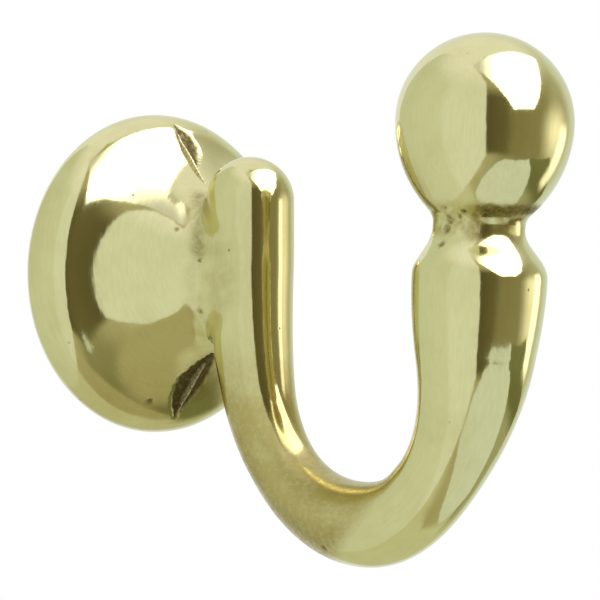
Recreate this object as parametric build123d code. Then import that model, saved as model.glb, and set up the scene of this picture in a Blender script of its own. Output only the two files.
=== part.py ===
from build123d import *
import os
from math import acos, asin, atan2, cos, degrees, hypot, radians, sin

# Curtain tieback hook, one solid brass casting, in millimetres.
# X points out of the wall, Z is up, and the hook is symmetric about the XZ plane.
# The origin is the middle of the flat back, where it sits on the wall.

# --- rose: the round base, a disc with a rolled rim that flares up to the shank ---
rose_radius = 14.0
rose_wide_x = 1.9           # distance of the widest circle from the wall
edge_radius = 2.2           # roll from the widest circle back to the wall
rim_radius = 3.4            # roll from the widest circle forwards
rim_turn = 61.0             # how far the roll turns before the flare, degrees
flare_radius = 14.5         # hollow curve from the rim towards the shank
root_girth = 3.2            # radius of the straight cone after it, where it meets the shank's axis

# --- screw hole in the back ---
screw_bore_radius = 2.1     # tapping bore for an M5 hanger screw
screw_bore_depth = 9.0

# --- centre line of the swan neck, from the round top of the shank downwards ---
shank_x = 14.56
shank_top_z = 6.27          # centre of the round top
shank_straight = 6.1
easing_radius, easing_turn = 48.9, 11.9
heel_radius, heel_turn = 14.6, 80.2
toe_radius, toe_turn = 10.9, 33.9
rise_radius, rise_turn = 17.0, 49.2
rise_straight = 6.9
shoulder_height = 4.0       # from the end of the rise to the neck
ball_height = 8.8           # from the neck to the ball's widest ring
head_set_back = 0.43        # neck and ball stand this far behind the swell's line
shoulder_bend = 3.1         # height below the neck over which the line eases back

# --- girth of the swan neck ---
shank_girth = 3.85          # radii of the round section
waist_girth = 2.95          # thinnest, low on the heel
belly_girth = 3.66          # where the heel meets the toe
throat_girth = 3.42         # start of the rise
swell_girth = 5.70          # top of the rise
neck_girth = 3.88
ball_radius = 7.52          # the ball's round top
cheek_radius = 10.5         # the ball's lower half, drawn out towards the neck
arm_rings = 30              # sections lofted from the shank to the swell
shoulder_rings = 10         # and from the swell to the neck

# --- soft corners of the casting ---
root_fillet = 0.6

# --- parting-line fins left above and below the shank ---
fin_width = 0.42
fin_height = 0.28
fin_root = 1.0              # depth that the ridges run into the casting
fin_outer = 12.3            # distance of the fin's ends from the rose's axis
fin_inner = 6.7


def flare_start():
    turned = radians(rim_turn)
    return (rose_wide_x + rim_radius * sin(turned), rose_radius - rim_radius * (1 - cos(turned)))


def flare_centre():
    x, r = flare_start()
    return (x + flare_radius * sin(radians(rim_turn)), r + flare_radius * cos(radians(rim_turn)))


def flare_turn():
    """degrees that the hollow turns before its straight cone points at the root"""
    x, r = flare_centre()
    aside, above = x - shank_x, r - root_girth
    return rim_turn - degrees(atan2(aside, above) + acos(flare_radius / hypot(aside, above)))


def on_flare(turned, lift=0.0):
    """point on the hollow, `turned` degrees after the rim, raised by lift"""
    x, r = flare_centre()
    angle = radians(rim_turn - turned)
    reach = flare_radius - lift
    return (x - reach * sin(angle), r - reach * cos(angle))


def rose():
    mid = radians(rim_turn / 2)
    rim_mid = (rose_wide_x + rim_radius * sin(mid), rose_radius - rim_radius * (1 - cos(mid)))
    edge = asin(rose_wide_x / edge_radius)
    back_radius = rose_radius - edge_radius * (1 - cos(edge))
    edge_mid = (rose_wide_x - edge_radius * sin(edge / 2),
                rose_radius - edge_radius * (1 - cos(edge / 2)))
    turn = flare_turn()
    with BuildSketch(Plane.XY) as half:
        with BuildLine():
            Line((0, 0), (0, back_radius))
            ThreePointArc((0, back_radius), edge_mid, (rose_wide_x, rose_radius))
            ThreePointArc((rose_wide_x, rose_radius), rim_mid, on_flare(0))
            ThreePointArc(on_flare(0), on_flare(turn / 2), on_flare(turn))
            Line(on_flare(turn), (shank_x, root_girth))
            Line((shank_x, root_girth), (shank_x, 0))
            Line((shank_x, 0), (0, 0))
        make_face()
    return revolve(half.sketch, Axis.X)


def centre_line():
    """straight runs joined by tangent arcs, in the XZ plane"""
    with BuildLine(Plane.XZ) as path:
        run = Line((shank_x, shank_top_z), (shank_x, shank_top_z - shank_straight))
        for radius, turn in ((easing_radius, easing_turn), (heel_radius, heel_turn),
                             (toe_radius, toe_turn), (rise_radius, rise_turn)):
            run = JernArc(run @ 1, run % 1, radius, turn)
        PolarLine(run @ 1, rise_straight + shoulder_height + ball_height, direction=run % 1)
    return path.wire()


def eased(share):
    """0 to 1 with a level start and end"""
    share = min(max(share, 0.0), 1.0)
    return share * share * (3 - 2 * share)


def stations():
    """distances along the centre line of its joints, the swell, the neck and the ball"""
    heel = shank_straight + radians(easing_turn) * easing_radius
    toe = heel + radians(heel_turn) * heel_radius
    rise = toe + radians(toe_turn) * toe_radius
    top = rise + radians(rise_turn) * rise_radius
    swell = top + rise_straight
    return heel, toe, rise, top, swell, swell + shoulder_height


def arm_girth(distance):
    """radius of the round section this far along the centre line, up to the neck"""
    heel, toe, rise, top, swell, neck = stations()
    waist = heel + 0.35 * (toe - heel)
    girth = shank_girth
    for start, end, reached in (
            (0.24 * heel, waist, waist_girth),
            (waist, toe, belly_girth),
            (toe, rise, throat_girth),
            (rise + 0.13 * (top - rise), top + 0.95 * rise_straight, swell_girth),
            (swell, neck, neck_girth)):
        girth += (reached - girth) * eased((distance - start) / (end - start))
    return girth


def section_place(path, distance):
    """plane square to the centre line, eased back towards the wall at the shoulder"""
    neck = stations()[-1]
    share = distance / path.length
    set_back = head_set_back * eased(1 - (neck - distance) / shoulder_bend)
    return Plane(path @ share - Vector(set_back, 0, 0), (0, 1, 0), path % share)


def arm(path):
    """round sections lofted along the centre line from the round top of the shank to the neck"""
    swell, neck = stations()[-2:]
    distances = [swell * i / arm_rings for i in range(arm_rings)]
    distances += [swell + (neck - swell) * i / shoulder_rings for i in range(shoulder_rings + 1)]
    rings = [section_place(path, at) * Circle(arm_girth(at)) for at in distances]
    top = section_place(path, 0)
    return loft(rings) + split(top * Sphere(shank_girth), top, keep=Keep.BOTTOM)


def head(path):
    """neck and ball, turned about the end of the centre line"""
    fall = ball_radius - neck_girth
    span = (ball_height ** 2 + fall ** 2) / (2 * fall)  # from the cheek's centre to the neck's
    neck_radius = span - cheek_radius
    lean = degrees(asin(ball_height / span))
    with BuildSketch(Plane.XZ) as half:
        with BuildLine():
            CenterArc((neck_girth + neck_radius, 0), neck_radius, 180, -lean)
            CenterArc((ball_radius - cheek_radius, ball_height), cheek_radius, -lean, lean)
            CenterArc((0, ball_height), ball_radius, 0, 90)
            Line((0, ball_height + ball_radius), (0, 0))
            Line((0, 0), (neck_girth, 0))
        make_face()
    return section_place(path, stations()[-1]) * revolve(half.sketch, Axis.Z)


def fins():
    """thin ridges on the flare, in the plane of symmetry"""
    turn = flare_turn()
    with BuildSketch(Plane.XY) as half:
        with BuildLine():
            ThreePointArc(*[on_flare(turn * i / 2, fin_height) for i in range(3)])
            Line(on_flare(turn, fin_height), on_flare(turn, -fin_root))
            ThreePointArc(*[on_flare(turn * i / 2, -fin_root) for i in (2, 1, 0)])
            Line(on_flare(0, -fin_root), on_flare(0, fin_height))
        make_face()
    band = extrude(Rot(90, 0, 0) * half.sketch, fin_width / 2, both=True)
    reach = Pos(0, 0, (fin_outer + fin_inner) / 2) * Box(40, 4, fin_outer - fin_inner)
    upper = band & reach
    return upper + mirror(upper, Plane.XY)


def screw_hole():
    """blind hole in the middle of the back"""
    return Pos(screw_bore_depth / 2, 0, 0) * Rot(0, 90, 0) * Cylinder(screw_bore_radius, screw_bore_depth)


def tieback_hook():
    base = rose()
    path = centre_line()
    swan_neck = arm(path) + head(path)
    hook = base + swan_neck
    root = new_edges(base, swan_neck, combined=hook)
    hook = fillet(root, root_fillet)
    hook = hook + fins() - screw_hole()
    return hook


if __name__ == "__main__":
    os.makedirs("parts", exist_ok=True)
    hook = tieback_hook()
    print("volume", hook.volume, "faces", len(hook.faces()), "solids", len(hook.solids()), hook.is_valid)
    export_step(hook, "parts/tieback_hook.step")
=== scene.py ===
import bpy, bmesh
from math import acos, asin, atan2, cos, degrees, hypot, pi, radians, sin, sqrt
from mathutils import Matrix, Vector, noise
from mathutils.bvhtree import BVHTree
from mathutils.kdtree import KDTree


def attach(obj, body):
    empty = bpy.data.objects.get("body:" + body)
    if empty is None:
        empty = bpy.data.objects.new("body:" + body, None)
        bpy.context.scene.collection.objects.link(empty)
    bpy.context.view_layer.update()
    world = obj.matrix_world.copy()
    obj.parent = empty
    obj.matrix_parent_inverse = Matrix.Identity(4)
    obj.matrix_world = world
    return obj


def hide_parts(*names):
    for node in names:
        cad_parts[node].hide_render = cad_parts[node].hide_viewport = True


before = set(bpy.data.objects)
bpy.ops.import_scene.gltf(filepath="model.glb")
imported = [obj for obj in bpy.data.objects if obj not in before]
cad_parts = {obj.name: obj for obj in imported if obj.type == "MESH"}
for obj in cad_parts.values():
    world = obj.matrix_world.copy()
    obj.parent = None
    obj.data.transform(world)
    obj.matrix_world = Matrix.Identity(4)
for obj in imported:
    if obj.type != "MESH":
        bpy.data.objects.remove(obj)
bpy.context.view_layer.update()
mm = 0.001


def linear(hexColour):
    # sRGB hex to linear values
    parts = [int(hexColour[i:i + 2], 16) / 255 for i in (1, 3, 5)]
    return tuple(c / 12.92 if c <= 0.04045 else ((c + 0.055) / 1.055) ** 2.4 for c in parts) + (1.0,)


def addNode(tree, kind, settings=None, inputs=None):
    # settings are node properties; inputs are values, sockets, or nodes whose first output is taken
    node = tree.nodes.new(kind)
    for key, value in (settings or {}).items():
        setattr(node, key, value)
    for key, value in (inputs or {}).items():
        if isinstance(value, bpy.types.Node):
            value = value.outputs[0]
        if isinstance(value, bpy.types.NodeSocket):
            tree.links.new(value, node.inputs[key])
        else:
            node.inputs[key].default_value = value
    return node


def newMaterial(name):
    material = bpy.data.materials.new(name)
    material.use_nodes = True
    material.node_tree.nodes.clear()
    return material, material.node_tree


def newPiece(name, bm, material, smooth=True):
    bmesh.ops.recalc_face_normals(bm, faces=bm.faces)
    mesh = bpy.data.meshes.new(name)
    bm.to_mesh(mesh)
    bm.free()
    for face in mesh.polygons:
        face.use_smooth = smooth
    piece = bpy.data.objects.new(name, mesh)
    bpy.context.collection.objects.link(piece)
    mesh.materials.append(material)
    return piece


def eased(share):
    # 0 to 1 with a level start and end
    share = min(max(share, 0.0), 1.0)
    return share * share * (3 - 2 * share)


# the swan neck: shank, heel, toe, rise, swell, neck and ball, in mm
neckShape = {
    "shankX": 14.56, "shankTopZ": 6.27, "shankRun": 6.1,
    "bends": ((48.9, 11.9), (14.6, 80.2), (10.9, 33.9), (17.0, 49.2)),  # radius, degrees
    "riseRun": 6.9, "shoulderHeight": 4.0, "ballHeight": 8.8,
    "headSetBack": 0.43, "shoulderBend": 3.1,
    "shank": 3.85, "waist": 2.95, "belly": 3.66, "throat": 3.42, "swell": 5.70, "neck": 3.88,
    "ball": 7.52, "cheek": 10.5,  # radii of the ball's widest ring and of its lower half's outline
    "neckRun": 0.2, "shoulderRun": 0.12,  # straight stretches that soften the neck and the swell
    "segments": 128, "step": 0.35, "capSteps": 24,
}


def centreLine(shape):
    # straight runs and tangent arcs as (length, radius, start, heading), downwards first
    runs = [(shape["shankRun"], 0)]
    runs += [(radius * radians(turn), radius) for radius, turn in shape["bends"]]
    runs.append((shape["riseRun"] + shape["shoulderHeight"] + shape["ballHeight"], 0))
    pieces, point, heading = [], Vector((shape["shankX"], shape["shankTopZ"])), -pi / 2
    for length, radius in runs:
        pieces.append((length, radius, point, heading))
        point, heading = along(pieces[-1], length)
    return pieces


def along(piece, run):
    # place and heading this far along one run or arc
    _, radius, start, heading = piece
    if not radius:
        return start + Vector((cos(heading), sin(heading))) * run, heading
    turned = run / radius
    centre = start + Vector((-sin(heading), cos(heading))) * radius
    after = heading + turned
    return centre + Vector((sin(after), -cos(after))) * radius, after


def placeAt(pieces, distance):
    # place and heading this far along the whole line
    for piece in pieces[:-1]:
        if distance <= piece[0]:
            return along(piece, distance)
        distance -= piece[0]
    return along(pieces[-1], distance)


def joints(shape):
    # distances along the line of heel, toe, rise, top, swell and neck
    reached, total = [], shape["shankRun"]
    for radius, turn in shape["bends"]:
        total += radius * radians(turn)
        reached.append(total)
    swell = total + shape["riseRun"]
    return (*reached, swell, swell + shape["shoulderHeight"])


def headGirth(shape, drop):
    # radius this far below the ball's widest ring: the cheek's arc runs into the neck's without a corner
    fall, height = shape["ball"] - shape["neck"], shape["ballHeight"] - shape["neckRun"]
    span = (height ** 2 + fall ** 2) / (2 * fall)
    neckArc = span - shape["cheek"]
    if drop < shape["cheek"] * height / span:
        return shape["ball"] - shape["cheek"] + sqrt(shape["cheek"] ** 2 - drop ** 2)
    return shape["neck"] + neckArc - sqrt(neckArc ** 2 - max(height - drop, 0) ** 2)


def girthAt(shape, distance):
    # radius of the round section this far along the line
    heel, toe, rise, top, swell, neck = joints(shape)
    widest = neck + shape["ballHeight"]
    if distance < 0:  # round top of the shank
        return sqrt(max(shape["shank"] ** 2 - distance ** 2, 0))
    if distance > widest:  # top of the ball
        reach = headGirth(shape, 0)
        return sqrt(max(reach ** 2 - (distance - widest) ** 2, 0))
    if distance > neck:
        return headGirth(shape, widest - distance)
    waist = heel + 0.35 * (toe - heel)
    girth = shape["shank"]
    for start, end, reached in ((0.24 * heel, waist, "waist"), (waist, toe, "belly"), (toe, rise, "throat"),
                                (rise + 0.13 * (top - rise), top + 0.95 * shape["riseRun"], "swell"),
                                (swell - shape["shoulderRun"], neck - shape["neckRun"], "neck")):
        girth += (shape[reached] - girth) * eased((distance - start) / (end - start))
    return girth


def ringPlace(shape, pieces, distance, girth):
    # carries a circle of radius 1 to its section, square to the line
    neck = joints(shape)[-1]
    point, heading = placeAt(pieces, max(distance, 0))
    if distance < 0:  # round top of the shank
        point = point - Vector((0, distance))
    setBack = shape["headSetBack"] * eased(1 - (neck - distance) / shape["shoulderBend"])
    place = Matrix.Translation(Vector((point.x - setBack, 0, point.y)) * mm)
    place @= Matrix.Rotation(pi / 2 - heading, 4, "Y")
    return place @ Matrix.Diagonal((girth * mm, girth * mm, mm, 1))


def makeSwanNeck(shape):
    pieces = centreLine(shape)
    widest = joints(shape)[-1] + shape["ballHeight"]
    end = widest + headGirth(shape, 0)
    capSteps = shape["capSteps"]
    distances = [-shape["shank"] * cos(pi / 2 * i / capSteps) for i in range(1, capSteps)]
    bodySteps = int(widest / shape["step"])
    distances += [widest * i / bodySteps for i in range(bodySteps + 1)]
    distances += [widest + (end - widest) * sin(pi / 2 * i / (capSteps * 2)) for i in range(1, capSteps * 2)]
    bm = bmesh.new()
    bmesh.ops.create_circle(bm, segments=shape["segments"], radius=1.0)
    last = Matrix.Identity(4)
    ring, edges = list(bm.verts), list(bm.edges)
    startEdges = edges
    for i, distance in enumerate(distances):
        place = ringPlace(shape, pieces, distance, girthAt(shape, distance))
        if i:
            made = bmesh.ops.extrude_edge_only(bm, edges=edges)["geom"]
            ring = [v for v in made if isinstance(v, bmesh.types.BMVert)]
            edges = [e for e in made if isinstance(e, bmesh.types.BMEdge)]
        bmesh.ops.transform(bm, matrix=place @ last.inverted(), verts=ring)
        last = place
    # both ends close in a point
    for openEdges, distance in ((edges, end), (startEdges, -shape["shank"])):
        made = bmesh.ops.extrude_edge_only(bm, edges=openEdges)["geom"]
        tip = [v for v in made if isinstance(v, bmesh.types.BMVert)]
        bmesh.ops.pointmerge(bm, verts=tip, merge_co=ringPlace(shape, pieces, distance, 1).translation)
    return bm


# the rose: rolled rim, hollow flare, flat back with its blind screw hole, in mm and degrees
roseShape = {
    "radius": 14.0, "wideX": 1.9, "edge": 2.2, "rim": 3.4, "rimTurn": 61.0,
    "flare": 14.5, "rootX": neckShape["shankX"], "root": 3.2, "hole": 2.1, "holeDepth": 9.0,
    "edgeSteps": 8, "rimSteps": 16, "flareSteps": 32, "coneSteps": 12, "steps": 192,
}


def flareCentre(shape):
    # distance from the wall and from the rose's axis
    start = radians(shape["rimTurn"])
    return (shape["wideX"] + (shape["rim"] + shape["flare"]) * sin(start),
            shape["radius"] - shape["rim"] + (shape["rim"] + shape["flare"]) * cos(start))


def flareTurn(shape):
    # degrees that the hollow turns before its straight cone points at the root
    x, r = flareCentre(shape)
    aside, above = x - shape["rootX"], r - shape["root"]
    return shape["rimTurn"] - degrees(atan2(aside, above) + acos(shape["flare"] / hypot(aside, above)))


def onFlare(shape, turned, lift=0.0):
    # place on the hollow this many degrees after the rim, raised by lift
    x, r = flareCentre(shape)
    a = radians(shape["rimTurn"] - turned)
    return x - (shape["flare"] - lift) * sin(a), r - (shape["flare"] - lift) * cos(a)


def makeRose(shape):
    # half outline from the hole's end over the back, the rim and the flare to the root, spun round
    edge, rimTurn = asin(shape["wideX"] / shape["edge"]), radians(shape["rimTurn"])
    outline = [(shape["holeDepth"], 0), (shape["holeDepth"], shape["hole"]), (0, shape["hole"])]
    for i in range(shape["edgeSteps"]):
        turned = edge * (1 - i / shape["edgeSteps"])
        outline.append((shape["wideX"] - shape["edge"] * sin(turned),
                        shape["radius"] - shape["edge"] * (1 - cos(turned))))
    for i in range(shape["rimSteps"]):
        turned = rimTurn * i / shape["rimSteps"]
        outline.append((shape["wideX"] + shape["rim"] * sin(turned),
                        shape["radius"] - shape["rim"] * (1 - cos(turned))))
    steps = shape["flareSteps"]
    outline += [onFlare(shape, flareTurn(shape) * i / steps) for i in range(steps + 1)]
    flareEnd, root = Vector(outline[-1]), Vector((shape["rootX"], shape["root"]))
    outline += [flareEnd.lerp(root, i / shape["coneSteps"]) for i in range(1, shape["coneSteps"] + 1)]
    outline.append((shape["rootX"], 0))
    bm = bmesh.new()
    verts = [bm.verts.new((x * mm, 0, r * mm)) for x, r in outline]
    edges = [bm.edges.new(pair) for pair in zip(verts, verts[1:])]
    bmesh.ops.spin(bm, geom=verts + edges, cent=(0, 0, 0), axis=(1, 0, 0), angle=2 * pi,
                   steps=shape["steps"], use_merge=True)
    bmesh.ops.remove_doubles(bm, verts=bm.verts, dist=1e-7)
    return bm


# the casting as one skin, in mm
castingSkin = {
    "voxel": 0.25, "rootReach": 2.8, "rootPasses": 90,
    "wave": 0.012, "waveLength": 3.2,  # hand polishing leaves the surface a little uneven
}


def joinCasting(neckBm, roseBm, skin):
    # both forms become one skin, drawn back onto the true surfaces, with a soft root where they meet
    trees = []
    joined = bmesh.new()
    for bm in (neckBm, roseBm):
        bmesh.ops.recalc_face_normals(bm, faces=bm.faces)
        trees.append(BVHTree.FromBMesh(bm))
        mesh = bpy.data.meshes.new("form")
        bm.to_mesh(mesh)
        bm.free()
        joined.from_mesh(mesh)
        bpy.data.meshes.remove(mesh)
    mesh = bpy.data.meshes.new("forms")
    joined.to_mesh(mesh)
    joined.free()
    form = bpy.data.objects.new("forms", mesh)
    bpy.context.collection.objects.link(form)
    remesh = form.modifiers.new("skin", "REMESH")
    remesh.mode = "VOXEL"
    remesh.voxel_size = skin["voxel"] * mm
    mesh = bpy.data.meshes.new_from_object(form.evaluated_get(bpy.context.evaluated_depsgraph_get()))
    bpy.data.objects.remove(form)
    bm = bmesh.new()
    bm.from_mesh(mesh)
    bpy.data.meshes.remove(mesh)
    root = {}
    nearRoot = bm.verts.layers.float.new("root")
    for vert in bm.verts:
        hits = [tree.find_nearest(vert.co) for tree in trees]
        vert.co = min(hits, key=lambda hit: hit[3])[0]
        away = max(hit[3] for hit in hits) / (skin["rootReach"] * mm)
        if away < 1:
            root[vert] = (vert.co.copy(), eased((1 - away) * 2))
            vert[nearRoot] = eased((1 - away) * 1.6)
    for _ in range(skin["rootPasses"]):
        bmesh.ops.smooth_vert(bm, verts=list(root), factor=0.5,
                              use_axis_x=True, use_axis_y=True, use_axis_z=True)
    for vert, (before, share) in root.items():
        vert.co = before.lerp(vert.co, share)
    print("casting", len(bm.faces), "faces,", len(root), "at the root")
    return bm


# flaws of the casting and its hand finish, and places of painted shade, in mm
flaws = {
    # pits: x, y, z, radius, depth
    "pits": ((44.7, -4.4, 5.5, 0.34, 0.08), (44.5, -4.0, 4.3, 0.4, 0.1), (44.15, -3.9, 3.6, 0.4, 0.1),
             (46.2, -3.9, 5.0, 0.34, 0.06), (43.9, -4.3, 2.3, 0.3, 0.07), (45.6, -3.8, 4.5, 0.24, 0.05),
             (10.6, -5.0, 3.8, 0.2, 0.03), (12.9, -4.3, 1.1, 0.2, 0.04), (12.3, -3.7, -3.3, 0.28, 0.06),
             (5.2, -3.5, -11.1, 0.2, 0.04), (27.6, -2.8, -23.4, 0.36, 0.06), (18.9, -2.9, -13.9, 0.2, 0.04),
             (44.9, 4.1, 3.6, 0.35, 0.09), (8.2, 6.4, -4.2, 0.24, 0.06), (24.3, 2.9, -20.4, 0.3, 0.06),
             (40.8, 4.4, -12.5, 0.26, 0.05)),
    # as-cast hollows beside the parting line: z of both ends, widest y, depth
    "hollows": ((13.1, 9.0, 2.0, 0.1), (-6.9, -12.9, -1.9, 0.2), (-6.9, -12.4, 1.7, 0.12)),
    # painted shade as a brown line in the groove under the ball: z, reach, and reach of the cloudy tarnish
    # and painted shade below it
    "neckGroove": (5.15, 0.5, 1.6),
    # a stain on the neck, and painted shade along the shank's root: both ends and reach
    "neckCloud": ((47.2, -3.1, 5.6), (46.6, -2.9, 3.4), 1.5),
    "rootShadeStreak": ((9.7, -1.7, 6.8), (12.7, -4.2, 2.0), 1.3),
}


def hollowShare(place, hollow):
    # 0 to 1 inside a leaf-shaped hollow with one straight side on the parting line
    first, last, widest, _ = hollow
    share = (place.z - first) / (last - first)
    if not 0 < share < 1 or not 2.2 < place.x < 12:
        return 0.0
    across = place.y / (widest * sin(pi * share ** 0.85))
    if across <= -0.12:
        return 0.0
    ragged = 0.12 * noise.noise(place * 1.7)
    return eased((1.0 - across + ragged) / 0.3) * eased((across + 0.12) / 0.12)


def nearLine(place, start, end, reach):
    # 1 on the line between two places, falling to 0 at this reach from it
    start, end = Vector(start), Vector(end)
    share = min(max((place - start).dot(end - start) / (end - start).length_squared, 0), 1)
    return eased(1 - (place - start.lerp(end, share)).length / reach)


def patchy(place, middle, strength, fineness):
    # 0 to 1 in soft clouds
    return min(max(middle + strength * noise.noise(place * fineness), 0), 1)


def castFlaws(place, flaws):
    # share left as cast, dirt, and how far the skin moves out
    cast = dirtAndShade = push = 0.0
    for hollow in flaws["hollows"]:
        share = hollowShare(place, hollow)
        cast = max(cast, share)
        push -= share * hollow[3] * (1 + 0.5 * noise.noise(place * 3.1))
    for x, y, z, radius, depth in flaws["pits"]:
        away = (place - Vector((x, y, z))).length / radius
        if away < 1.4:
            push -= depth * eased(1.4 - away)
            dirtAndShade = max(dirtAndShade, 0.8 * eased((1.4 - away) / 0.9 + 0.3 * noise.noise(place * 4)))
    return cast, dirtAndShade, push


def neckTarnishAndShade(place, flaws):
    # tarnish, dirt and painted shade: a brown line of painted shade in the groove under the ball, darkest in
    # front, and clouds below it
    z, reach, cloudReach = flaws["neckGroove"]
    if place.x <= 40 or abs(place.z - z) >= 3.5:
        return 0.0, 0.0
    mottle = 0.55 + 0.9 * noise.noise(place * 1.1) + 0.6 * noise.noise(place * 2.9)
    # a band of tarnish with painted shade just under the groove, broken by the mottle
    filmAndShade = eased(1.3 - abs(place.z - z + 0.9) / cloudReach) * min(max(mottle, 0), 1)
    # painted shade: a dark brown line in the groove under the ball, stronger in front
    grooveShade = eased(1.3 - abs(place.z - z) / reach + 0.3 * noise.noise(place * 2)) * eased((place.x - 46) / 2)
    cloud = nearLine(place, *flaws["neckCloud"]) * (0.9 + 0.7 * noise.noise(place * 1.8))
    return max(0.8 * filmAndShade, grooveShade, cloud), max(0.22 * filmAndShade, 0.8 * grooveShade, 0.42 * cloud)


def shankShadeAndTarnish(place, normal, rootShare, flaws):
    # painted shade, patchy like tarnish, round the root, and brown painted shade under and behind the shank
    # painted shade round the root where the shank meets the rose, patchy like tarnish
    tarnishAndShade = 0.3 * rootShare * patchy(place, 0.75, 0.9, 0.8)
    # painted shade as a dark streak along the shank's root
    dirtAndShade = max(0.3 * tarnishAndShade, 0.5 * nearLine(place, *flaws["rootShadeStreak"]))
    if 4 < place.x < 14.6 and place.z < 6:
        # painted shade under the shank, on the flare below it
        under = eased((4.2 - abs(place.y - 1.4)) / 3) * eased((-place.z - 6) / 2) * eased((place.x - 4.2) / 3)
        # painted shade on the shank's back, which faces the rose
        behind = eased((-normal.x - 0.25) / 0.5) * eased((place.x - 10.2) / 1.5)
        behind *= eased((7 - abs(place.z + 3)) / 4)
        tarnishAndShade = max(tarnishAndShade, 1.3 * under)
        dirtAndShade = max(dirtAndShade, (0.2 * under + 0.75 * behind) * patchy(place, 0.85, 0.9, 1.3))
    return tarnishAndShade, dirtAndShade


def insideBendReflection(place, normal):
    # how far the skin faces the hollow of the hook, where its own reflection is painted in brown
    if not 13 < place.x < 44 or place.z > 12:
        return 0.0
    inward = Vector((30, 0, -2)) - Vector((place.x, 0, place.z))
    facing = eased((normal.dot(inward.normalized()) - 0.15) / 0.6) * eased((12 - place.z) / 4)
    return facing * (0.3 + 0.7 * eased((place.x - 20) / 5))


def bendTintAndReflection(place, normal):
    # browner over the heel and toe, darker on their outer, lower side, and painted reflection inside the bend
    heel = eased((-4 - place.z) / 9) * eased((36.5 - place.x) / 4)
    heel *= eased(0.5 - ((place.x - 32) * 0.59 - (place.z + 21.3) * 0.807) / 2.4)
    tarnishAndShade = (0.45 + 0.55 * eased((place.x - 10) / 4)) * heel * (0.9 + 0.4 * noise.noise(place * 0.45))
    outer = eased((0.25 - normal.z) / 0.7) * eased((place.x - 12) / 3)
    outer *= 0.9 + 0.4 * noise.noise(place * 0.3)
    # painted reflection of the hook itself, brown, on the inside of the bend
    insideReflection = insideBendReflection(place, normal)
    return max(tarnishAndShade, insideReflection), max(0.36 * heel * outer, 0.22 * insideReflection * eased((-place.z - 12) / 5))


def grainAt(place, samples, nearest):
    # polishing lines: round the rose, which was buffed while it turned, and along the arm
    out = hypot(place.y, place.z)
    if place.x < 12.5 and out > 4.5:
        return 2 * place.y / out, out, 2 * place.z / out + place.x
    run, point, heading = samples[nearest.find((place.x, 0, place.z))[1]]
    away = Vector((place.x, place.z)) - point
    ahead = Vector((cos(heading), sin(heading))).dot(away)
    aside = Vector((-sin(heading), cos(heading))).dot(away)
    return 0.12 * (run + ahead), aside, place.y


def finishSkin(bm, skin, flaws):
    # moves the skin at its flaws and keeps what the material reads: wear with painted shade (as cast,
    # tarnish, dirt) and grain
    wearAndShadeLayer = bm.verts.layers.float_color.new("wearAndShade")
    grainLayer = bm.verts.layers.float_vector.new("grain")
    nearRoot = bm.verts.layers.float["root"]
    bm.normal_update()
    pieces = centreLine(neckShape)
    length = joints(neckShape)[-1] + neckShape["ballHeight"]
    samples = [(run, *placeAt(pieces, run)) for run in [length * i / 200 for i in range(201)]]
    nearest = KDTree(len(samples))
    for i, (_, point, _) in enumerate(samples):
        nearest.insert((point.x, 0, point.y), i)
    nearest.balance()
    moves = []
    for vert in bm.verts:
        place, normal = vert.co / mm, vert.normal
        cast, pitDirt, push = castFlaws(place, flaws)
        # these carry tarnish and dirt together with painted shade and painted reflection
        stainsAndShade = (neckTarnishAndShade(place, flaws), shankShadeAndTarnish(place, normal, vert[nearRoot], flaws),
                  bendTintAndReflection(place, normal))
        tarnishAndShade = min(max(stainAndShade[0] for stainAndShade in stainsAndShade), 1)
        dirtAndShade = max(pitDirt, *(stainAndShade[1] for stainAndShade in stainsAndShade))
        vert[wearAndShadeLayer] = (cast, tarnishAndShade, dirtAndShade, 1)
        vert[grainLayer] = grainAt(place, samples, nearest)
        if place.x > 0.4:  # the flat back stays true
            push += skin["wave"] * noise.noise(place / skin["waveLength"])
        moves.append((vert, normal * push * mm))
    for vert, move in moves:
        vert.co += move
    return bm


# parting-line fins above and below the shank, in mm: outer and inner are the distances of their ends
# from the rose's axis
finShape = {"width": 0.34, "outer": 13.1, "inner": 7.3, "sunk": 0.35, "steps": 48, "rough": 0.05}


def finPlace(foot, top, side, thick, drift):
    # carries a flat section, 1 high and 1 to each side, to the line from the foot to the top of a fin
    tall = Vector((top.x - foot.x, 0, side * (top.y - foot.y)))
    wide = Vector((0, thick, 0))
    place = Matrix((wide, tall, wide.cross(tall).normalized())).transposed().to_4x4()
    place.translation = (foot.x, drift, side * foot.y)
    return place


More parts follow.
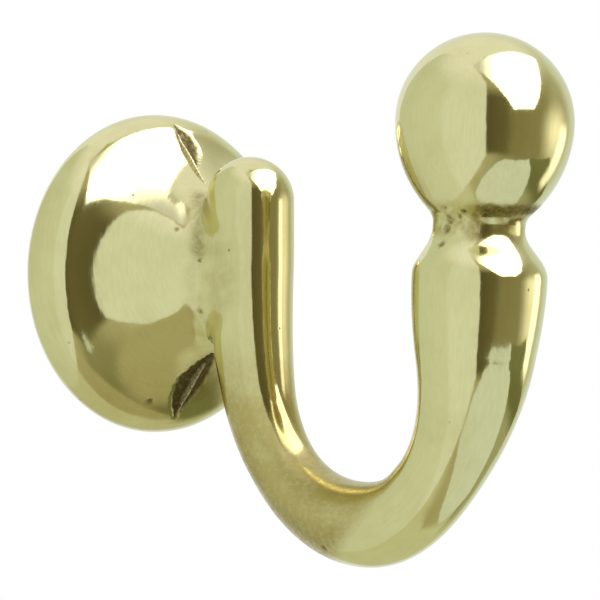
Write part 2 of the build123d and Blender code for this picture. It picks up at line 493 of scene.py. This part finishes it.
def makeFins(shape, rose):
    # thin webs left on the parting line: they bridge the hollow of the flare with a straight top edge
    turns = [flareTurn(rose) * i / 2000 for i in range(2001)]
    kept = [t for t in turns if shape["inner"] <= onFlare(rose, t)[1] <= shape["outer"]]
    ends = Vector(onFlare(rose, kept[0])), Vector(onFlare(rose, kept[-1]))
    bm = bmesh.new()
    for side in (1, -1):
        ring = bmesh.ops.create_grid(bm, x_segments=1, y_segments=1, size=0.5)["verts"]
        loop = [edge for edge in bm.edges if all(vert in ring for vert in edge.verts)]
        for vert in ring:  # half as wide at the top as at the foot
            high = vert.co.y + 0.5
            vert.co = (vert.co.x * (2 - high), high, 0)
        last = Matrix.Identity(4)
        for i in range(shape["steps"] + 1):
            share = i / shape["steps"]
            foot = Vector(onFlare(rose, kept[0] + (kept[-1] - kept[0]) * share, -shape["sunk"]))
            top = ends[0].lerp(ends[1], share)
            ragged = shape["rough"] * (noise.noise((share * 9, side, 0)) - 0.3) * sin(pi * share)
            top += (top - foot).normalized() * ragged
            thick = shape["width"] / 2 * (0.55 + 0.45 * sin(pi * share))
            thick *= 1 + 0.25 * noise.noise((share * 14, side, 5))
            place = finPlace(foot, top, side, thick, drift=0.1 * noise.noise((share * 3, side, 9)))
            if i:
                made = bmesh.ops.extrude_edge_only(bm, edges=loop)["geom"]
                ring = [v for v in made if isinstance(v, bmesh.types.BMVert)]
                loop = [e for e in made if isinstance(e, bmesh.types.BMEdge)]
            bmesh.ops.transform(bm, matrix=place @ last.inverted(), verts=ring)
            last = place
        bmesh.ops.contextual_create(bm, geom=loop)
    bmesh.ops.scale(bm, vec=(mm, mm, mm), verts=bm.verts)
    return bm


# colours and gloss of the polished casting; widths and depths of its patterns in mm
brassLook = {
    # the tarnished and dirt colours also colour painted shade and painted reflection
    "polished": "#e6e1b0", "tarnishedAndShaded": "#c4b578", "dirtAndShade": "#6f5f28", "asCast": "#655a34",
    "gloss": 0.075, "tarnishGloss": 0.13, "soilGloss": 0.4, "castGloss": 0.5,
    "grainWidth": 0.22, "grainDepth": 0.0016, "dentWidth": 1.1, "dentDepth": 0.004,
    "cloudWidth": 3.846, "speckWidth": 0.5, "pinholeGap": 2.381, "castDepth": 0.05, "soilDepth": 0.03,
}


def brassMaterial(look):
    # cast yellow brass, buffed by hand and left bare: it mirrors the room in a pale warm tone, a little
    # softer and browner where it has tarnished, and it is dull in the hollows that keep their as-cast skin
    # painted shade and a painted reflection of the hook brown it at the root, under the ball and inside the
    # bend
    material, tree = newMaterial("buffedCastBrass")
    place = addNode(tree, "ShaderNodeTexCoord").outputs["Object"]
    wearAndShade = addNode(tree, "ShaderNodeAttribute", {"attribute_name": "wearAndShade"})
    wearAndShadeParts = addNode(tree, "ShaderNodeSeparateColor", inputs={"Color": wearAndShade.outputs["Color"]})
    # the tarnish and dirt channels also carry painted shade
    asCast, tarnishAndShade, dirtAndShade = (wearAndShadeParts.outputs[part] for part in ("Red", "Green", "Blue"))
    grain = addNode(tree, "ShaderNodeAttribute", {"attribute_name": "grain"})

    # buffing lines along the arm and round the rose: real ones are finer than the eye sees from here,
    # so they are drawn this coarse
    streaks = addNode(tree, "ShaderNodeTexNoise", inputs={
        "Vector": grain.outputs["Vector"], "Scale": 1 / look["grainWidth"], "Detail": 2.0, "Roughness": 0.6})
    # cloudy patches a few mm wide where the polish has dulled
    clouds = addNode(tree, "ShaderNodeTexNoise", inputs={
        "Vector": place, "Scale": 1000 / look["cloudWidth"], "Detail": 3.0, "Roughness": 0.6})
    # mottle of about half a millimetre, seen best in the tarnished bend
    mottle = addNode(tree, "ShaderNodeTexNoise", inputs={
        "Vector": place, "Scale": 1000 / look["speckWidth"], "Detail": 3.0, "Roughness": 0.7})
    # a few pinholes of the casting, 0.15 mm wide
    holes = addNode(tree, "ShaderNodeTexVoronoi", inputs={
        "Vector": place, "Scale": 1000 / look["pinholeGap"]})
    nearHole = addNode(tree, "ShaderNodeMapRange", inputs={
        "Value": holes.outputs["Distance"],
        "From Min": 0.03, "From Max": 0.075, "To Min": 1.0, "To Max": 0.0})
    holeParts = addNode(tree, "ShaderNodeSeparateColor", inputs={"Color": holes.outputs["Color"]})
    fewHoles = addNode(tree, "ShaderNodeMath", {"operation": "GREATER_THAN"}, {
        0: holeParts.outputs["Red"], 1: 0.6})
    pinholes = addNode(tree, "ShaderNodeMath", {"operation": "MULTIPLY"}, {0: nearHole, 1: fewHoles})

    # tarnish and painted shade: a thin brown film, broken up by the mottle, with a haze in the clouds and
    # along the lines
    filmBreaks = addNode(tree, "ShaderNodeMapRange", inputs={
        "Value": mottle, "From Min": 0.3, "From Max": 0.7, "To Min": 0.75, "To Max": 1.15})
    brokenFilmAndShade = addNode(tree, "ShaderNodeMath", {"operation": "MULTIPLY"}, {0: tarnishAndShade, 1: filmBreaks})
    haze = addNode(tree, "ShaderNodeMapRange", inputs={
        "Value": clouds, "From Min": 0.45, "From Max": 0.75, "To Min": 0.0, "To Max": 0.22})
    hazyFilmAndShade = addNode(tree, "ShaderNodeMath", {"operation": "MAXIMUM"}, {0: brokenFilmAndShade, 1: haze})
    lineHaze = addNode(tree, "ShaderNodeMapRange", inputs={
        "Value": streaks, "From Min": 0.35, "From Max": 0.7, "To Min": 0.0, "To Max": 0.12})
    filmAndShade = addNode(tree, "ShaderNodeMath", {"operation": "ADD"}, {0: hazyFilmAndShade, 1: lineHaze})
    # dirt in the pits and the pinholes, and painted shade in the corners by the root and under the ball
    soilBreaks = addNode(tree, "ShaderNodeMapRange", inputs={
        "Value": mottle, "From Min": 0.35, "From Max": 0.6, "To Min": 0.55, "To Max": 1.2})
    brokenSoilAndShade = addNode(tree, "ShaderNodeMath", {"operation": "MULTIPLY"}, {0: dirtAndShade, 1: soilBreaks})
    holeSoil = addNode(tree, "ShaderNodeMath", {"operation": "MULTIPLY"}, {0: pinholes, 1: 0.6})
    soilAndShade = addNode(tree, "ShaderNodeMath", {"operation": "MAXIMUM"}, {0: brokenSoilAndShade, 1: holeSoil})
    # the skin of the mould
    castBreaks = addNode(tree, "ShaderNodeMapRange", inputs={
        "Value": mottle, "From Min": 0.3, "From Max": 0.65, "To Min": 1.3, "To Max": 0.8})
    castSkin = addNode(tree, "ShaderNodeMath", {"operation": "MULTIPLY"}, {0: asCast, 1: castBreaks})

    # inputs 6 and 7 of a Mix node are its two colours, and output 2 is the mixed one
    # the tarnish colour also browns painted shade, and the dirt colour darkens it
    tarnishedAndShaded = addNode(tree, "ShaderNodeMix", {"data_type": "RGBA"}, {
        0: filmAndShade, 6: linear(look["polished"]), 7: linear(look["tarnishedAndShaded"])})
    soiledAndShaded = addNode(tree, "ShaderNodeMix", {"data_type": "RGBA"}, {
        0: soilAndShade, 6: tarnishedAndShaded.outputs[2], 7: linear(look["dirtAndShade"])})
    colour = addNode(tree, "ShaderNodeMix", {"data_type": "RGBA"}, {
        0: castSkin, 6: soiledAndShaded.outputs[2], 7: linear(look["asCast"])})
    # gloss: bright polish, softer under tarnish and dirt, dull where the skin is as cast
    lineGloss = addNode(tree, "ShaderNodeMapRange", inputs={
        "Value": streaks, "From Min": 0.3, "From Max": 0.7,
        "To Min": look["gloss"] * 0.8, "To Max": look["gloss"] * 1.3})
    filmGloss = addNode(tree, "ShaderNodeMath", {"operation": "MULTIPLY_ADD"}, {
        0: filmAndShade, 1: look["tarnishGloss"] - look["gloss"], 2: lineGloss})
    soilGloss = addNode(tree, "ShaderNodeMath", {"operation": "MULTIPLY_ADD"}, {
        0: soilAndShade, 1: look["soilGloss"], 2: filmGloss})
    gloss = addNode(tree, "ShaderNodeMath", {"operation": "MULTIPLY_ADD"}, {
        0: castSkin, 1: look["castGloss"] - look["gloss"], 2: soilGloss})

    # relief: buffing lines under two microns deep
    lines = addNode(tree, "ShaderNodeBump", inputs={
        "Height": streaks, "Strength": 1.0, "Distance": look["grainDepth"] * mm})
    # shallow dents about a millimetre wide, which make the edges of reflections wander
    dents = addNode(tree, "ShaderNodeTexNoise", inputs={
        "Vector": place, "Scale": 1000 / look["dentWidth"], "Detail": 1.0})
    uneven = addNode(tree, "ShaderNodeBump", inputs={
        "Height": dents, "Strength": 1.0, "Distance": look["dentDepth"] * mm, "Normal": lines})
    # the grain of the as-cast skin, and pits and pinholes sunk below the polish
    castGrain = addNode(tree, "ShaderNodeMath", {"operation": "MULTIPLY"}, {0: castSkin, 1: mottle})
    rough = addNode(tree, "ShaderNodeBump", inputs={
        "Height": castGrain, "Strength": 1.0, "Distance": look["castDepth"] * mm, "Normal": uneven})
    sunk = addNode(tree, "ShaderNodeBump", {"invert": True}, {
        "Height": soilAndShade, "Strength": 0.5, "Distance": look["soilDepth"] * mm, "Normal": rough})
    shader = addNode(tree, "ShaderNodeBsdfPrincipled", inputs={
        "Metallic": 1.0, "Base Color": colour.outputs[2], "Roughness": gloss, "Normal": sunk})
    addNode(tree, "ShaderNodeOutputMaterial", inputs={"Surface": shader})
    return material


# the fins: colours between the grains and on them, and grain size and depth in mm
finLook = {"hollow": "#a3946c", "ridge": "#efe6c6", "sand": 0.2, "depth": 0.03, "gloss": 0.38}


def finMaterial(look):
    # the same brass as it left the sand mould: dull, brown between the grains and rubbed bright on them
    material, tree = newMaterial("asCastBrass")
    place = addNode(tree, "ShaderNodeTexCoord").outputs["Object"]
    sand = addNode(tree, "ShaderNodeTexNoise", inputs={
        "Vector": place, "Scale": 1000 / look["sand"], "Detail": 3.0, "Roughness": 0.7})
    tone = addNode(tree, "ShaderNodeValToRGB", inputs={"Fac": sand})
    for element, position, part in zip(tone.color_ramp.elements, (0.35, 0.6), ("hollow", "ridge")):
        element.position = position
        element.color = linear(look[part])
    relief = addNode(tree, "ShaderNodeBump", inputs={
        "Height": sand, "Strength": 0.6, "Distance": look["depth"] * mm})
    shader = addNode(tree, "ShaderNodeBsdfPrincipled", inputs={
        "Metallic": 1.0, "Roughness": look["gloss"], "Base Color": tone, "Normal": relief})
    addNode(tree, "ShaderNodeOutputMaterial", inputs={"Surface": shader})
    return material


castingBm = joinCasting(makeSwanNeck(neckShape), makeRose(roseShape), castingSkin)
hook = newPiece("tiebackHook", finishSkin(castingBm, castingSkin, flaws), brassMaterial(brassLook))
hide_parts("tieback_hook")
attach(hook, "root")
print("casting finished")

fins = newPiece("partingFins", makeFins(finShape, roseShape), finMaterial(finLook), smooth=False)
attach(fins, "root")
print("fins made")

# degrees round the hook, mm, and the lens in mm
view = {"azimuth": 48.7, "distance": 600.0, "aim": (21.1466, 0.0, -2.3365), "lens": 417.5}
turn = radians(view["azimuth"])
towards = Vector((sin(turn), -cos(turn), 0))  # from the hook to the viewer
right = Vector((cos(turn), sin(turn), 0))
up = Vector((0, 0, 1))
cameraData = bpy.data.cameras.new("camera")
cameraData.lens = view["lens"]
cameraData.sensor_width = 36
cameraData.clip_start = 0.01
cameraData.clip_end = 20
camera = bpy.data.objects.new("camera", cameraData)
camera.location = Vector(view["aim"]) * mm + towards * view["distance"] * mm
camera.rotation_euler = (-towards).to_track_quat("-Z", "Y").to_euler()
bpy.context.collection.objects.link(camera)
bpy.context.scene.camera = camera
print("camera set")

# what stands round the hook, in mm, placed as the ball sees it. Corners of the box are azimuths to the right
# of the viewer and heights, in degrees; corners of the table are mm to the right and towards the viewer.
# Colours change with the azimuth, and on the table's edge with the mm to the right.
studio = {
    "hub": (45.0, 0.0, 12.5),  # centre of the ball
    "wall": {"gap": 85, "facing": -70, "azimuths": (-143, 0.5), "heights": (-162, 300), "colours": (
        (-143, "#d3d8c4"), (-62, "#dbe0d0"), (-52, "#e5eae0"), (0.5, "#e5eae0"))},
    "box": {"gap": 260, "dim": 0.75, "bright": 2.7, "corners": (
        (36, 13.3), (65, 12.5), (108, 40), (137, 41), (128, 77), (-42, 72), (0.4, 59.7), (26.5, 31))},
    "table": {"drop": 50, "colour": "#dbe3dc", "corners": (
        (-4, 9), (-9, 20), (-3, 38), (18, 61), (34, 64), (77, 35), (63, 14), (37, -3), (13, -16), (2, -9))},
    "tableEdge": {"drop": 51, "corners": ((10, -18), (60, -65), (125, -25), (78, 38)), "colours": (
        (36, "#abab8b"), (52, "#74754c"), (95, "#7d7f56"))},
    # a bright upright strip beside the arm: its middle in x and y, and what it faces
    "strip": {"at": (58.5, 41.0), "facing": (40.0, 0.0), "halfWidth": 10.0, "low": -24.0, "high": 14.0,
              "strength": (1.15, 1.1, 1.0)},
    "room": {
        "radius": 900,
        "level": ((0.5, "#5d5637"), (22, "#6b6543"), (40, "#8d8762"), (75, "#938d69"), (100, "#a7a381"),
                  (180, "#e8ece4"), (220, "#f2f5f0"), (340, "#e2e6da")),
        "side": ((80, "#b0aa88"), (120, "#b8b69c"), (146, "#dbe1d4"), (160, "#dee6e0"), (185, "#eef2ee")),
        "foot": ((-20, "#c9c9ae"), (4, "#b4b08e"), (30, "#94916c"), (75, "#7d7f56"), (125, "#7d7f56"),
                 (160, "#cdd0b2"), (310, "#cdd0b2"), (340, "#c9c9ae")),
        "under": ((0, "#b5b08b"), (110, "#b5b08b"), (145, "#cfd2b4"), (310, "#cfd2b4"), (340, "#b5b08b")),
        "above": ((-20, "#dcdccb"), (0, "#b5b08c"), (60, "#c9c8b2"), (140, "#f6f7f2"), (300, "#f6f7f2"),
                  (340, "#dcdccb")),
        "gleam": (0.8, 0.76, 0.68),
    },
    "floor": {"z": -150, "size": 1200, "colour": "#f4f4f0"},
    "lamp": {"at": (100, -100, 800), "facing": (20, 0, 0), "size": 500, "energy": 3.0},
    "backdrop": {"asLight": 0.7, "seen": 1.0},
}
hub = Vector(studio["hub"]) * mm


def seen(azimuth, height, distance):
    # a place by its azimuth and height as the hub sees it, and its distance
    a, e = radians(azimuth), radians(height)
    return hub + (towards * cos(a) * cos(e) + right * sin(a) * cos(e) + up * sin(e)) * distance * mm


def direction(spot):
    # azimuth to the right of the viewer and height, in degrees
    across, ahead = spot.dot(right), spot.dot(towards)
    return degrees(atan2(across, ahead)), degrees(asin(spot.normalized().z))


def blend(first, second, share):
    return [a * (1 - share) + b * share for a, b in zip(first, second)]


def mixed(stops, value):
    # colour between (value, colour) stops
    if value <= stops[0][0]:
        return linear(stops[0][1])
    for (low, first), (high, second) in zip(stops, stops[1:]):
        if value <= high:
            return blend(linear(first), linear(second), eased((value - low) / (high - low)))
    return linear(stops[-1][1])


def wallLight(spot):
    # paler high up
    azimuth, height = direction(spot)
    light = mixed(studio["wall"]["colours"], azimuth)
    return blend(light, linear("#ffffff"), eased((height - 38) / 30) * 0.8)


def boxLight(spot):
    # the far end of the soft box is dimmer
    box = studio["box"]
    across = spot.dot(right) / spot.length
    return [box["dim"] + (box["bright"] - box["dim"]) * eased((across + 0.12) / 0.34)] * 3 + [1]


def tableLight(spot):
    return linear(studio["table"]["colour"])


def edgeLight(spot):
    return mixed(studio["tableEdge"]["colours"], spot.dot(right) / mm)


def stripLight(spot):
    # brightest along its middle line, gone at its edges
    strip = studio["strip"]
    middle, half = (strip["low"] + strip["high"]) / 2, (strip["high"] - strip["low"]) / 2
    place = (hub + spot) / mm
    aside = hypot(place.x - strip["at"][0], place.y - strip["at"][1]) / strip["halfWidth"]
    share = eased(1.3 * (1 - aside)) * eased(2.5 * (1 - abs(place.z - middle) / half))
    return [light * share for light in strip["strength"]] + [1]


def roomLight(spot):
    # a dark side, a pale side with a gleam, and their fades to what lies below and above
    room = studio["room"]
    azimuth, height = direction(spot)
    around = azimuth if azimuth > -20 else azimuth + 360
    light = mixed(room["level"], around)
    light = blend(light, mixed(room["foot"], around), eased((-height - 28) / 6))
    light = blend(light, mixed(room["under"], around), eased((-height - 46) / 8))
    pale = hypot((around - 132) / 48, (height - 1) / 32)
    light = blend(light, mixed(room["side"], around), eased((1.08 - pale) / 0.3))
    gleam = eased(1 - hypot((around - 102) / 32, (height + 6) / 26))
    light = [c + g * gleam for c, g in zip(light, room["gleam"])] + [1]
    return blend(light, mixed(room["above"], around), eased((height - 28) / 25))


def addCard(name, bm, colours, clear=False):
    # colours(spot) is the light at a spot as seen from the hub, so a card can fade;
    # a clear card adds its light to what stands behind it
    layer = bm.verts.layers.float_color.new("glow")
    for vert in bm.verts:
        vert[layer] = colours(vert.co - hub)
    material, tree = newMaterial(name)
    glow = addNode(tree, "ShaderNodeAttribute", {"attribute_name": "glow"})
    light = addNode(tree, "ShaderNodeEmission", inputs={"Color": glow.outputs["Color"]})
    if clear:
        through = addNode(tree, "ShaderNodeBsdfTransparent")
        light = addNode(tree, "ShaderNodeAddShader", inputs={0: light, 1: through})
    addNode(tree, "ShaderNodeOutputMaterial", inputs={"Surface": light})
    card = newPiece(name, bm, material, smooth=False)
    card.visible_camera = card.visible_shadow = card.visible_diffuse = False


def flatForm(corners):
    bm = bmesh.new()
    bm.faces.new([bm.verts.new(corner) for corner in corners])
    return bm


def gridForm(corners):
    # four corners, divided finely enough to fade
    bm = flatForm(corners)
    bmesh.ops.subdivide_edges(bm, edges=bm.edges, cuts=40, use_grid_fill=True)
    return bm


def tableSpots(part):
    # corners of a level card below the hub
    return [hub + (right * x + towards * y - up * part["drop"]) * mm for x, y in part["corners"]]


wall = studio["wall"]
left, end = wall["azimuths"]
low, high = wall["heights"]
addCard("wall", gridForm([
    seen(azimuth, 0, wall["gap"] / cos(radians(azimuth - wall["facing"]))) + up * height * mm
    for azimuth, height in ((left, low), (end, low), (end, high), (left, high))]), wallLight)

box = studio["box"]
boxBm = flatForm([seen(azimuth, height, box["gap"]) for azimuth, height in box["corners"]])
bmesh.ops.poke(boxBm, faces=boxBm.faces)
bmesh.ops.subdivide_edges(boxBm, edges=boxBm.edges, cuts=12, use_grid_fill=True)
addCard("softBox", boxBm, boxLight)

addCard("table", flatForm(tableSpots(studio["table"])), tableLight)
addCard("tableEdge", gridForm(tableSpots(studio["tableEdge"])), edgeLight)

strip = studio["strip"]
stripAt = Vector((*strip["at"], 0))
sideways = up.cross(stripAt - Vector((*strip["facing"], 0))).normalized() * strip["halfWidth"]
addCard("strip", gridForm([(stripAt + sideways * side + up * height) * mm for side, height in (
    (-1, strip["low"]), (1, strip["low"]), (1, strip["high"]), (-1, strip["high"]))]), stripLight, clear=True)

roomBm = bmesh.new()
bmesh.ops.create_uvsphere(roomBm, u_segments=180, v_segments=90, radius=studio["room"]["radius"] * mm)
bmesh.ops.translate(roomBm, verts=roomBm.verts, vec=hub)
addCard("room", roomBm, roomLight)

# matt pale floor that catches the hook's shadow
floorLook = studio["floor"]
floorBm = bmesh.new()
bmesh.ops.create_grid(floorBm, x_segments=1, y_segments=1, size=floorLook["size"] / 2 * mm)
bmesh.ops.translate(floorBm, verts=floorBm.verts, vec=(0, 0, floorLook["z"] * mm))
floorMaterial, floorTree = newMaterial("paleFloor")
floorShader = addNode(floorTree, "ShaderNodeBsdfPrincipled", inputs={
    "Base Color": linear(floorLook["colour"]), "Roughness": 0.9})
addNode(floorTree, "ShaderNodeOutputMaterial", inputs={"Surface": floorShader})
floor = newPiece("floor", floorBm, floorMaterial, smooth=False)
floor.visible_glossy = False

lampLook = studio["lamp"]
lampData = bpy.data.lights.new("overhead", "AREA")
lampData.shape = "DISK"
lampData.size = lampLook["size"] * mm
lampData.energy = lampLook["energy"]
lamp = bpy.data.objects.new("overhead", lampData)
lamp.location = Vector(lampLook["at"]) * mm
lamp.rotation_euler = (lamp.location - Vector(lampLook["facing"]) * mm).to_track_quat("Z", "Y").to_euler()
lamp.visible_glossy = False
bpy.context.collection.objects.link(lamp)

# white behind everything for the viewer and for the metal, softer as a light
world = bpy.data.worlds.new("studio")
bpy.context.scene.world = world
world.use_nodes = True
worldTree = world.node_tree
worldTree.nodes.clear()
path = addNode(worldTree, "ShaderNodeLightPath")
shows = addNode(worldTree, "ShaderNodeMath", {"operation": "MAXIMUM"}, {
    0: path.outputs["Is Camera Ray"], 1: path.outputs["Is Glossy Ray"]})
showsAll = addNode(worldTree, "ShaderNodeMath", {"operation": "MAXIMUM"}, {
    0: shows, 1: path.outputs["Is Transmission Ray"]})
strength = addNode(worldTree, "ShaderNodeMapRange", inputs={
    "Value": showsAll, "To Min": studio["backdrop"]["asLight"], "To Max": studio["backdrop"]["seen"]})
background = addNode(worldTree, "ShaderNodeBackground", inputs={"Color": (1, 1, 1, 1), "Strength": strength})
addNode(worldTree, "ShaderNodeOutputWorld", inputs={"Surface": background})
print("studio set")

bpy.context.scene.view_settings.view_transform = "Standard"
